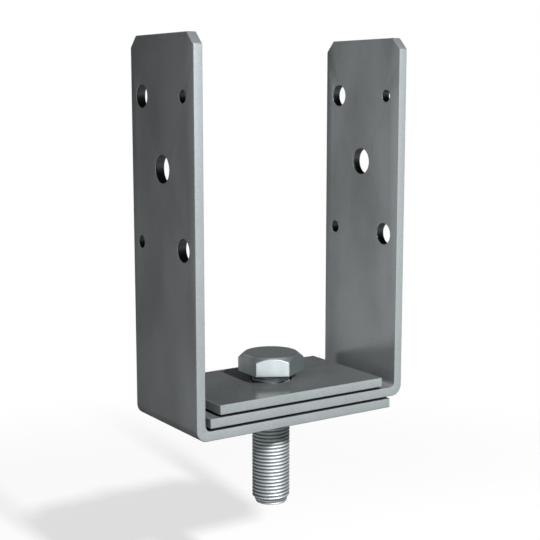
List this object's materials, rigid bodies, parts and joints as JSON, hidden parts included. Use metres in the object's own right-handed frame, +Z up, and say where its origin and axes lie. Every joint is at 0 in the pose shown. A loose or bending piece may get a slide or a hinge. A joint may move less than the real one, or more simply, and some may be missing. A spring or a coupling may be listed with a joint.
{
  "type": "post anchor",
  "caption": "Width-adjustable post anchor: bent steel angles slide past each other under a clamp plate and a hex bolt, with screw holes in the legs.",
  "frame": {"origin": "on the bolt's axis, at the underside of the lower flange, where the support begins", "axes": "+Z up along the bolt, +X from the left leg to the right leg, +Y across the strip from front to back"},
  "size_m": [0.101, 0.05, 0.1949],
  "materials": {
    "angle_steel": "zinc-plated sheet steel, satin, with soft mottling",
    "plate_steel": "zinc-plated steel plate, smoother and glossier",
    "bolt_steel": "bright zinc-plated bolt"
  },
  "bodies": {
    "clamp": {"hex_bolt": "bolt_steel", "clamp_plate": "plate_steel"},
    "left_angle": {"lower_angle": "angle_steel"},
    "right_angle": {"upper_angle": "angle_steel"}
  },
  "joints": [
    {"name": "left_angle_slide", "type": "slide", "parent": "clamp", "child": "left_angle", "axis": [-1, 0, 0], "range_m": [0, 0.024]},
    {"name": "right_angle_slide", "type": "slide", "parent": "clamp", "child": "right_angle", "axis": [1, 0, 0], "range_m": [0, 0.024]}
  ]
}
